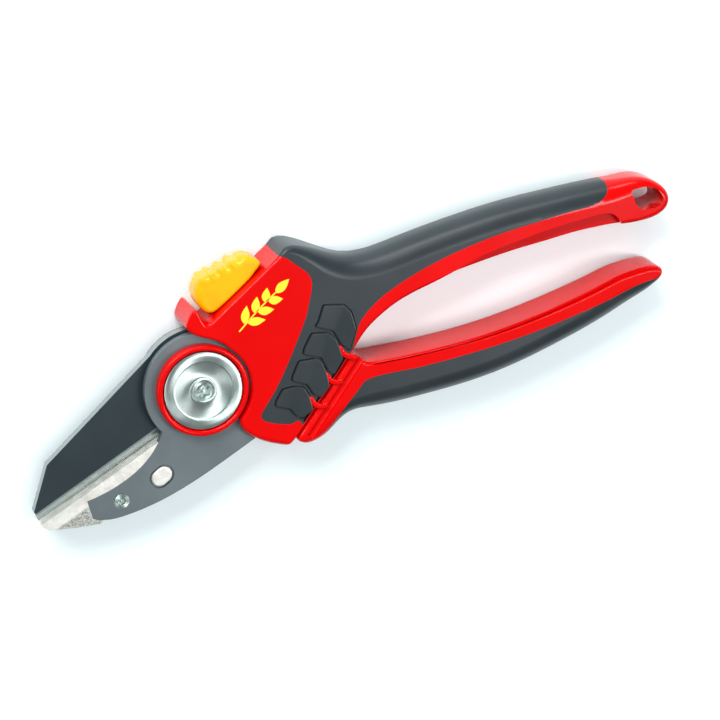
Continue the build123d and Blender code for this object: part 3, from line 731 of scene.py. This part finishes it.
# raised scales on the overmould, each in a pocket of its own and tilted up past its fold
scale = {"round": 0.5, "foot": 14.6, "edge": 16.3, "tip": 17.2, "run": 7, "bevel": 0.36,
         "crease": 0.45, "floor": 15.2}
scaleShapes = [
    ([(38.6, 3.2), (41.8, 7.0), (47.2, 4.3), (48.3, 1.3), (47.6, -3.8), (43.2, -8.7), (41.9, -6.2),
      (41.4, -1.4), (37.0, 2.2)], (47.2, 4.3), (41.4, -1.4)),
    ([(31.8, -1.9), (35.3, 0.9), (39.3, -0.9), (41.0, -3.6), (41.0, -6.6), (40.4, -10.3), (36.2, -13.4),
      (35.2, -11.9), (35.0, -7.0), (30.5, -3.6)], (39.3, -0.9), (35.0, -7.0)),
    ([(25.0, -8.2), (28.6, -4.9), (33.5, -6.5), (34.6, -8.4), (34.4, -12.2), (33.6, -15.9), (30.0, -17.9),
      (28.5, -16.1), (27.9, -12.3), (24.4, -9.5)], (33.5, -6.5), (27.9, -12.3)),
    ([(17.6, -12.8), (20.8, -10.4), (24.3, -11.2), (26.6, -12.6), (27.1, -15.4), (26.4, -20.0), (22.6, -20.9),
      (21.2, -19.5), (20.4, -16.6), (16.9, -14.0)], (24.3, -11.2), (20.4, -16.6)),
]
for outline, _, _ in scaleShapes:
    pocket = roundCorners(outline, scale["round"], 2, closed=True)[::-1]
    wide = [(p[0] - w.x * scale["crease"], p[1] - w.y * scale["crease"])
            for p, w in zip(pocket, inwardWays(pocket, 1))]
    cutSlab(gripShell, wide, scale["floor"], past["high"])
for piece in (frameShell, gripShell):
    softenCuts(piece, brokenEdge)
print("upper handle made")

pads = []
for k, (outline, foldStart, foldEnd) in enumerate(scaleShapes):
    padOutline = roundCorners(outline, scale["round"], 2, closed=True)
    pad = makeSlab(f"scale_{k + 1}", padOutline, scale["foot"], scale["edge"])
    fold = (Vector(foldEnd) - Vector(foldStart)).normalized()
    across = Vector((-fold.y, fold.x))
    pick(pad)
    bpy.ops.object.mode_set(mode="EDIT")
    bpy.ops.mesh.select_all(action="SELECT")
    bpy.ops.mesh.bisect(plane_co=(foldStart[0] * mm, foldStart[1] * mm, 0), plane_no=(across.x, across.y, 0))
    bpy.ops.object.mode_set(mode="OBJECT")
    for v in pad.data.vertices:
        if v.co.z > (scale["foot"] + scale["edge"]) / 2 * mm:
            reach = (Vector((v.co.x / mm, v.co.y / mm)) - Vector(foldStart)).dot(across)
            v.co.z += max(0, reach) * (scale["tip"] - scale["edge"]) / scale["run"] * mm
    softenCuts(pad, scale["bevel"], 40)
    pads.append(pad)
scales = joinPieces(*pads)
scales.name = scales.data.name = "grip_scales"
finishPiece(scales, gripRubber, "anvil_handle", "soft_grip")
finishPiece(gripShell, gripRubber, "anvil_handle", "soft_grip", "upper_grip")

# hooked teeth of the frame, showing through the overmould at the seam
hook = {"half": 0.85, "low": 13.0, "high": 16.6, "bevel": 0.45}
toothPaths = [[(44.6, -12.0), (43.3, -11.3), (41.9, -9.9), (41.1, -8.4), (41.0, -7.0)],
              [(38.0, -16.3), (36.3, -16.1), (34.9, -14.9), (34.3, -13.6), (34.2, -12.4)],
              [(31.0, -20.6), (29.4, -20.6), (27.9, -19.4), (27.3, -18.2), (27.2, -17.0)]]
teeth = []
for k, path in enumerate(toothPaths):
    line = smoothLine(path, 0.5)
    ways = [(Vector(q) - Vector(p)).normalized() for p, q in zip(line, line[1:])]
    ways.append(ways[-1])
    half = hook["half"]
    left = [(p[0] - w.y * half, p[1] + w.x * half) for p, w in zip(line, ways)]
    rightSide = [(p[0] + w.y * half, p[1] - w.x * half) for p, w in zip(line, ways)]
    turn = math.atan2(ways[-1].y, ways[-1].x)
    cap = [(line[-1][0] + half * math.cos(turn + a), line[-1][1] + half * math.sin(turn + a))
           for a in (1.1, 0.6, 0, -0.6, -1.1)]
    tooth = makeSlab(f"tooth_{k + 1}", left + cap + rightSide[::-1], hook["low"], hook["high"])
    softenCuts(tooth, hook["bevel"], 60, 3)
    teeth.append(tooth)
teethPiece = joinPieces(*teeth)
teethPiece.name = teethPiece.data.name = "frame_teeth"
finishPiece(teethPiece, redNylon, "anvil_handle", "red_shell")
finishPiece(frameShell, redNylon, "anvil_handle", "red_shell", "upper_handle_frame")
print("scales and teeth made")

lower = {
    "seam": [onSeam(1.4, 0.2), onSeam(32.4, 0.2), (46.2, -15.0)],
    "inner": [(46.2, -15.0), (50.0, -16.4), (60.0, -19.4), (70.0, -22.0), (80.0, -24.2), (90.0, -25.8),
              (100.0, -26.9), (110.0, -27.6), (119.0, -27.9), (126.0, -27.9), (132.0, -28.8),
              (136.0, -29.8), (138.4, -30.9), (139.4, -32.4), (138.8, -34.0), (136.5, -35.2)],
    "outer": [(136.5, -35.2), (130.0, -37.2), (120.0, -38.6), (110.0, -39.2), (100.0, -39.3),
              (90.0, -39.1), (80.0, -38.3), (70.0, -36.7), (60.0, -34.5), (50.0, -32.0), (44.0, -30.0),
              (39.5, -28.2), (36.4, -27.5), (33.2, -27.9), (30.0, -29.0), (26.5, -30.0), (23.0, -30.0),
              (20.4, -29.2), onSeam(1.4, 0.2)],
    "strip": [(24.0, -33.0), (24.5, -30.4), (27.5, -28.8), (31.5, -26.6), (36.0, -23.9), (40.9, -21.3),
              (44.3, -19.7), (50.0, -20.7), (60.0, -23.7), (70.0, -26.1), (80.0, -28.2), (90.0, -29.9),
              (100.0, -31.2), (110.0, -32.1), (120.0, -32.7), (129.0, -32.8), (135.0, -33.6),
              (140.0, -35.2)],
}
lowerSeam = roundCorners(lower["seam"], 1.4)
lowerInner = smoothLine(lower["inner"], 1.1)
lowerOuter = smoothLine(lower["outer"], 1.1)
lowerStrip = smoothLine(lower["strip"], 1.1)
turnOff = lineAt(lowerOuter, 44)
tailOff = lineAt(lowerOuter, 126)
lowerStretches = [
    (lowerSeam[:-1], (1.7, 1.6), (1.5, 1.4)), (lowerInner, (0.9, 0.9), (1.6, 2.6)),
    (lowerOuter[:tailOff], (1.8, 2.6), (6.6, 7.2)), (lowerOuter[tailOff:turnOff], (6.6, 7.2), (6.2, 6.8)),
    (lowerOuter[turnOff:], (6.0, 6.4), (1.6, 2.0)),
]
lowerBlank = mould("lower_blank", lowerStretches, thick["low"], thick["high"])
# groove beside the seam, and the fine line between the finger side and the front rim
hollow = {"radius": 1.25, "length": 29, "start": 4.5, "out": 3.4, "level": 16.3}
fine = {"near": 0.4, "far": 0.85, "floor": 15.0}
grooveBar = turned("groove_bar", [(hollow["radius"], 0), (hollow["radius"], hollow["length"])], sides=16)
grooveTurn = Matrix.Rotation(seam["angle"], 4, "Z") @ Matrix.Rotation(pi / 2, 4, "Y")
grooveBar.data.transform(grooveTurn)
grooveFoot = Vector((*onSeam(hollow["start"], hollow["out"]), hollow["level"])) * mm
grooveBar.data.transform(Matrix.Translation(grooveFoot))
cutWith(lowerBlank, grooveBar)
drop(grooveBar)
fineWays = inwardWays(lowerInner, 1)
fineIn, fineOut = ([(lowerInner[i][0] - fineWays[i].x * away, lowerInner[i][1] - fineWays[i].y * away)
                    for i in range(2, len(lowerInner) - 6)] for away in (fine["far"], fine["near"]))
cutSlab(lowerBlank, fineIn + fineOut[::-1], fine["floor"], past["high"])
taper(lowerBlank)
lowerGrip = twin(lowerBlank, "lower_grip_overmould")
region = makeSlab("region", lowerStrip + [(140.0, -60.0), (24.0, -60.0)], past["low"], past["high"] + 1)
rib = [(x, y + wrap["depth"]) for x, y in lower["outer"][1:13]]
coreOutline = [(135.0, 0.0), (135.0, -33.0), *rib, (28.0, -26.0), (28.0, 0.0)]
core = makeSlab("core", coreOutline, wrap["low"], wrap["high"])
cutWith(region, core)
cutWith(lowerGrip, region, "INTERSECT")
lowerShell = lowerBlank
lowerShell.name = lowerShell.data.name = "lower_handle_shell"
cutWith(lowerShell, region)
drop(region)
drop(core)
tang = [(0.0, 0.0), (15.0, -9.0), (34.0, -17.8), (46.0, -20.8), (72.0, -26.2), (72.0, -31.2),
        (46.0, -26.2), (37.0, -23.6), (30.0, -23.6), (23.0, -24.4), (9.0, -15.0)]
cutSlab(lowerShell, tang, thick["bladeLow"], thick["bladeHigh"])
for piece in (lowerShell, lowerGrip):
    softenCuts(piece, brokenEdge)
finishPiece(lowerShell, redNylon, "blade_handle", "red_shell", "lower_handle_frame")
finishPiece(lowerGrip, gripRubber, "blade_handle", "soft_grip", "lower_grip")
print("lower handle made")

slider = {
    "low": 3.4, "high": 12.8,
    "flank": [onSlide(20.4, 0.15), onSlide(18.2, 0.3), (10.9, 19.6), (9.5, 22.2), (9.3, 25.2),
              (10.6, 28.0), (12.6, 29.6)],
    # five ribs for the thumb: crests with a valley between each two
    "ribs": [(12.6, 29.6), (13.8, 30.0), (14.9, 29.5), (16.3, 30.2), (17.8, 29.4), (19.6, 30.2),
             (21.3, 29.6), (23.1, 30.5), (24.8, 29.9), (26.4, 30.3)],
    "heel": [(26.4, 30.3), (28.4, 29.6), (30.0, 27.8), (30.9, 25.8), onSlide(34.2, 0.4), onSlide(32.2, 0.15)],
    "foot": (20.0, 28.0, -5.0, 1.5, 3.0),  # start, end, lowest, highest, half width
}
sliderStretches = [
    (smoothLine(slider["flank"], 0.5), (0.8, 0.8), (2.8, 3.4)),
    (smoothLine(slider["ribs"], 0.35), (2.8, 3.8), (2.8, 3.8)),
    (smoothLine(slider["heel"], 0.5), (2.4, 3.0), (0.6, 0.6)),
    (smoothLine([slider["heel"][-1], slider["flank"][0]], 0.6), (0.6, 0.6), (0.6, 0.6)),
]
sliderBody = mould("thumb_slider", sliderStretches, slider["low"], slider["high"], steps=8, step=0.4)
footStart, footEnd, footLow, footHigh, footHalf = slider["foot"]
footOutline = [onSlide(footStart, footLow), onSlide(footEnd, footLow), onSlide(footEnd, footHigh),
               onSlide(footStart, footHigh)]
foot = makeSlab("foot", footOutline, middle - footHalf, middle + footHalf)
joinPieces(sliderBody, foot)
finishPiece(sliderBody, yellowAcetal, "lock_slide", "yellow_shell", "lock_slider", angle=45)
print("slider made")

bolt = {"shank": 4.0, "head": 11.7, "under": 13.4, "face": 15.0, "dish": 8.8, "collar": 3.9, "bore": 3.0,
        "lobe": 2.15, "lobeRise": 0.32, "keyFloor": 12.6}
shank, head, dish, collar, bore = (bolt[k] for k in ("shank", "head", "dish", "collar", "bore"))
under, face = bolt["under"], bolt["face"]
boltProfile = [
    (shank - 0.4, 1.0), (shank, 1.4), (shank, under), (head - 0.3, under), (head, under + 0.25),
    (head, face - 0.55), (head - 0.15, face - 0.2), (head - 0.5, face - 0.02), (10.2, face + 0.04),
    (dish + 0.1, face), (dish, face - 0.1), (dish - 0.1, face - 0.5), (dish - 0.5, face - 0.6),
    (6.0, face - 0.72), (collar + 0.4, face - 0.66), (collar, face - 0.45), (collar - 0.15, face - 0.05),
    (collar - 0.4, face), (bore + 0.15, face - 0.02), (bore - 0.1, face - 0.25), (2.75, face - 0.6),
]
boltPiece = turned("bolt_turned", boltProfile)
# six-lobed key recess
lobes = []
for k in range(72):
    a = 2 * pi * k / 72
    reach = bolt["lobe"] + bolt["lobeRise"] * math.cos(6 * a)
    lobes.append((reach * math.cos(a), reach * math.sin(a)))
cutSlab(boltPiece, lobes, bolt["keyFloor"], face + 1)
pin = turned("recess_floor", [(1.1, 12.0), (1.1, 13.1), (0.8, 13.3)], sides=24)
joinPieces(boltPiece, pin)
finishPiece(boltPiece, zincSteel, "anvil_handle", "plated_steel", "pivot_bolt", angle=35)

# (radius, height) round each ring's section
ring = {
    "front": [(11.9, 13.45), (11.9, 14.5), (12.0, 14.95), (12.3, 15.25), (12.75, 15.35), (13.2, 15.25),
              (13.5, 14.95), (13.6, 14.5), (13.6, 12.4), (4.05, 12.4), (4.05, 13.38), (11.7, 13.38)],
    "rear": [(10.65, 2.6), (10.65, 1.4), (10.8, 0.95), (11.2, 0.7), (12.2, 0.62), (13.1, 0.72),
             (13.5, 1.0), (13.6, 1.45), (13.6, 3.6), (4.05, 3.6), (4.05, 2.62), (10.5, 2.62)],
}
for side, section in ring.items():
    moulded = turned(f"ring_{side}_moulded", section, ring=True)
    finishPiece(moulded, redNylon, "anvil_handle", "red_shell", f"pivot_ring_{side}", angle=40)
print("pivot made")

# the leaf sprig printed on the housing
sprig = {"foot": (16.4, 11.6), "angle": 20.0, "length": 21.0, "pairs": 3, "first": 2.6, "pitch": 4.3,
         "stagger": 0.9, "leaf": 5.4, "width": 1.25, "spread": 38, "stem": 0.2, "inkLow": 15.98,
         "inkHigh": 16.06}
lean = math.radians(sprig["angle"])


def onSprig(along, across=0.0):
    return (sprig["foot"][0] + along * math.cos(lean) - across * math.sin(lean),
            sprig["foot"][1] + along * math.sin(lean) + across * math.cos(lean))


def leafOutline(along, across, turn, length, half):
    # a pointed oval from its stalk end, turned from the stem
    edge = []
    for side in (1, -1):
        steps = [k / 8 for k in range(9)] if side == 1 else [1 - k / 8 for k in range(1, 8)]
        for t in steps:
            u = t * length
            w = side * half * math.sin(pi * t ** 0.8)
            edge.append(onSprig(along + u * math.cos(turn) - w * math.sin(turn),
                                across + u * math.sin(turn) + w * math.cos(turn)))
    return edge


stemLine = [(t, 0.5 * math.sin(t / sprig["length"] * pi)) for t in [k * 1.4 for k in range(12)]]
half = sprig["stem"]
stem = [onSprig(t, w + half) for t, w in stemLine] + [onSprig(t, w - half) for t, w in stemLine[::-1]]
shapes = [stem]
for k in range(sprig["pairs"]):
    for side in (1, -1):
        along = sprig["first"] + sprig["pitch"] * k + (sprig["stagger"] if side < 0 else 0)
        turn = side * math.radians(sprig["spread"])
        length = sprig["leaf"] * (1 - 0.1 * k)
        shapes.append(leafOutline(along, 0.35 + 0.25 * side, turn, length, sprig["width"]))
shapes.append(leafOutline(15.2, 0.3, 0.0, 5.6, sprig["width"] + 0.1))  # the leaf at the tip
prints = [makeSlab("leaf", shape, sprig["inkLow"], sprig["inkHigh"]) for shape in shapes]
emblem = joinPieces(*prints)
emblem.name = emblem.data.name = "printed_sprig"
finishPiece(emblem, printInk, "anvil_handle", "yellow_shell")
print("sprig made")

stud = {"at": (-21.2, -18.5), "length": 6.6, "width": 5.0, "turn": 15, "gap": 0.55, "play": 0.05,
        "foot": 11.0, "floor": 11.7, "top": 12.75, "bevel": 0.5}


def slotOutline(grow):
    half = stud["width"] / 2 + grow
    run = (stud["length"] - stud["width"]) / 2
    turn = math.radians(stud["turn"])
    points = [(run + x, y) for x, y in arcLine(half, -90, 90, 18)]
    points += [(-x, -y) for x, y in points]
    return [(stud["at"][0] + x * math.cos(turn) - y * math.sin(turn),
             stud["at"][1] + x * math.sin(turn) + y * math.cos(turn)) for x, y in points]


metalPieces = {
    "anvil_plate_front": (0.3, coatedSteel, "anvil_handle", "plate_grey"),
    "anvil_plate_rear": (0.3, coatedSteel, "anvil_handle", "plate_grey"),
    "anvil": (0.25, castAlloy, "anvil_handle", "anvil_alloy"),
    "blade": (0.15, bladeSteel, "blade_handle", "blade_coat"),
    "anvil_screw": (0.15, zincSteel, "anvil_handle", "plated_steel"),
    "anvil_nut": (0.2, zincSteel, "anvil_handle", "plated_steel"),
    "pivot_nut": (0.25, zincSteel, "anvil_handle", "plated_steel"),
    "plate_screws": (0.2, zincSteel, "anvil_handle", "plated_steel"),
    "tang_screws": (0.2, zincSteel, "blade_handle", "plated_steel"),
}
for node, (width, material, body, slotName) in metalPieces.items():
    copy = softenedCopy(node, width)
    if node == "anvil_plate_front":
        cutSlab(copy, slotOutline(stud["gap"]), stud["floor"], past["high"])
    finishPiece(copy, material, body, slotName, node)

# the blade's narrow sides are left bare by grinding
bladePiece = bpy.data.objects["blade_finished"]
bladePiece.data.materials.append(groundSteel)
for flat in bladePiece.data.polygons:
    if abs(flat.normal.z) < 0.3:
        flat.material_index = 1

plain = {
    "plate_spacer": zincSteel, "lock_detent_spring": springSteel, "lock_tongue": zincSteel,
    "slider_pin": zincSteel,
    "blade_washer_front": bearingPolymer, "blade_washer_rear": bearingPolymer, "pivot_bush": sinteredBronze,
    "return_spring": springSteel,
}
for node, material in plain.items():
    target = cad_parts[node]
    target.data.materials.clear()
    target.data.materials.append(material)

studCap = makeSlab("anvil_stud", slotOutline(-stud["play"]), stud["foot"], stud["top"])
softenCuts(studCap, stud["bevel"], segments=4)
finishPiece(studCap, planedAlloy, "anvil_handle", "anvil_alloy")
print("metal pieces made")

deselectAll()
bpy.ops.mesh.primitive_plane_add(size=4, location=(0, 0, -0.0002))
floor = bpy.context.object
floor.name = "floor"
paper = bpy.data.materials.new("matt_paper")
paper.use_nodes = True
paper.node_tree.nodes["Principled BSDF"].inputs["Base Color"].default_value = colour("#E8F3F5")
paper.node_tree.nodes["Principled BSDF"].inputs["Roughness"].default_value = 0.9
floor.data.materials.append(paper)


def softbox(name, place, size, power, glossy=True):
    light = bpy.data.lights.new(name, "AREA")
    light.shape = "RECTANGLE"
    light.size, light.size_y = size
    light.energy = power
    lamp = bpy.data.objects.new(name, light)
    bpy.context.scene.collection.objects.link(lamp)
    lamp.location = place
    lamp.rotation_euler = (Vector((0.045, -0.01, 0.0)) - Vector(place)).to_track_quat("-Z", "Y").to_euler()
    lamp.visible_glossy = glossy


# place and size in metres, power in watts
softbox("key_softbox", (-0.15, 0.95, 0.75), (0.8, 0.5), 15)
softbox("top_softbox", (0.0, 0.1, 1.2), (0.8, 0.8), 6, glossy=False)
softbox("palm_light", (0.45, 1.15, 0.42), (0.8, 0.25), 6)  # low behind, for the sheen along the grips
softbox("strip_light", (0.6, -0.3, 1.0), (0.18, 0.6), 6)  # for the bright wedges on the bolt's face
world = bpy.data.worlds.new("studio")
bpy.context.scene.world = world
world.use_nodes = True
world.node_tree.nodes["Background"].inputs["Color"].default_value = colour("#EEF4F8")
world.node_tree.nodes["Background"].inputs["Strength"].default_value = 0.28
bpy.context.scene.view_settings.view_transform = "Standard"
